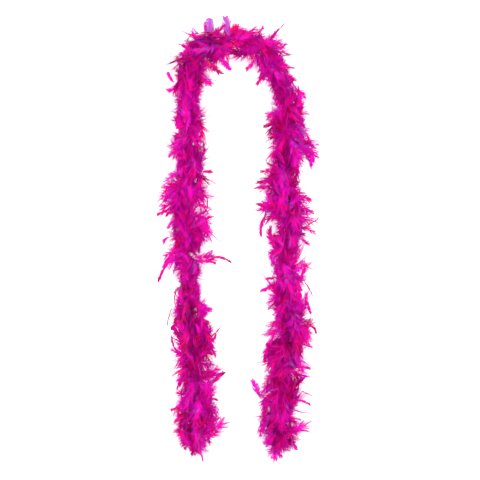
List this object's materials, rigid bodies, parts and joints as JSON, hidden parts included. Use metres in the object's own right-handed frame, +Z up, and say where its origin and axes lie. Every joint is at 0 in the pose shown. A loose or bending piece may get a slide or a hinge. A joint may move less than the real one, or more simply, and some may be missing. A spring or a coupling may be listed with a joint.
{
  "type": "feather boa",
  "caption": "Long limp scarf of fluffy dyed feathers tied in bunches along a twisted cord, laid in a U, with whipped and knotted ends.",
  "frame": {"origin": "on the table, under the middle of the U that the boa lies in", "axes": "+Y along the legs towards the arch, +X across the legs to the right, +Z up from the table"},
  "size_m": [0.3277, 0.9019, 0.0675],
  "materials": {
    "dyed_feather": "matte",
    "cotton_cord": "matte",
    "binding_thread": "satin"
  },
  "bodies": {
    "left_half": {"core_cord_left": "cotton_cord", "end_binding_left": "binding_thread", "end_knot_left": "cotton_cord", "feather_bunch_left_01": "dyed_feather", "feather_bunch_left_02": "dyed_feather", "feather_bunch_left_03": "dyed_feather", "feather_bunch_left_04": "dyed_feather", "feather_bunch_left_05": "dyed_feather", "feather_bunch_left_06": "dyed_feather", "feather_bunch_left_07": "dyed_feather", "feather_bunch_left_08": "dyed_feather", "feather_bunch_left_09": "dyed_feather", "feather_bunch_left_10": "dyed_feather", "feather_bunch_left_11": "dyed_feather", "feather_bunch_left_12": "dyed_feather", "feather_bunch_left_13": "dyed_feather", "feather_bunch_left_14": "dyed_feather", "feather_bunch_left_15": "dyed_feather", "feather_bunch_left_16": "dyed_feather", "feather_bunch_left_17": "dyed_feather", "feather_bunch_left_18": "dyed_feather", "feather_bunch_left_19": "dyed_feather", "feather_bunch_left_20": "dyed_feather", "feather_bunch_left_21": "dyed_feather", "feather_bunch_left_22": "dyed_feather"},
    "right_half": {"core_cord_right": "cotton_cord", "end_binding_right": "binding_thread", "end_knot_right": "cotton_cord", "feather_bunch_right_01": "dyed_feather", "feather_bunch_right_02": "dyed_feather", "feather_bunch_right_03": "dyed_feather", "feather_bunch_right_04": "dyed_feather", "feather_bunch_right_05": "dyed_feather", "feather_bunch_right_06": "dyed_feather", "feather_bunch_right_07": "dyed_feather", "feather_bunch_right_08": "dyed_feather", "feather_bunch_right_09": "dyed_feather", "feather_bunch_right_10": "dyed_feather", "feather_bunch_right_11": "dyed_feather", "feather_bunch_right_12": "dyed_feather", "feather_bunch_right_13": "dyed_feather", "feather_bunch_right_14": "dyed_feather", "feather_bunch_right_15": "dyed_feather", "feather_bunch_right_16": "dyed_feather", "feather_bunch_right_17": "dyed_feather", "feather_bunch_right_18": "dyed_feather", "feather_bunch_right_19": "dyed_feather", "feather_bunch_right_20": "dyed_feather", "feather_bunch_right_21": "dyed_feather", "feather_bunch_right_22": "dyed_feather"}
  },
  "joints": [
    {"name": "neck_bend", "type": "hinge", "parent": "left_half", "child": "right_half", "pos_m": [-0.003, 0.411, 0.032], "axis": [0, 0, 1], "range_deg": [-5, 35]}
  ]
}
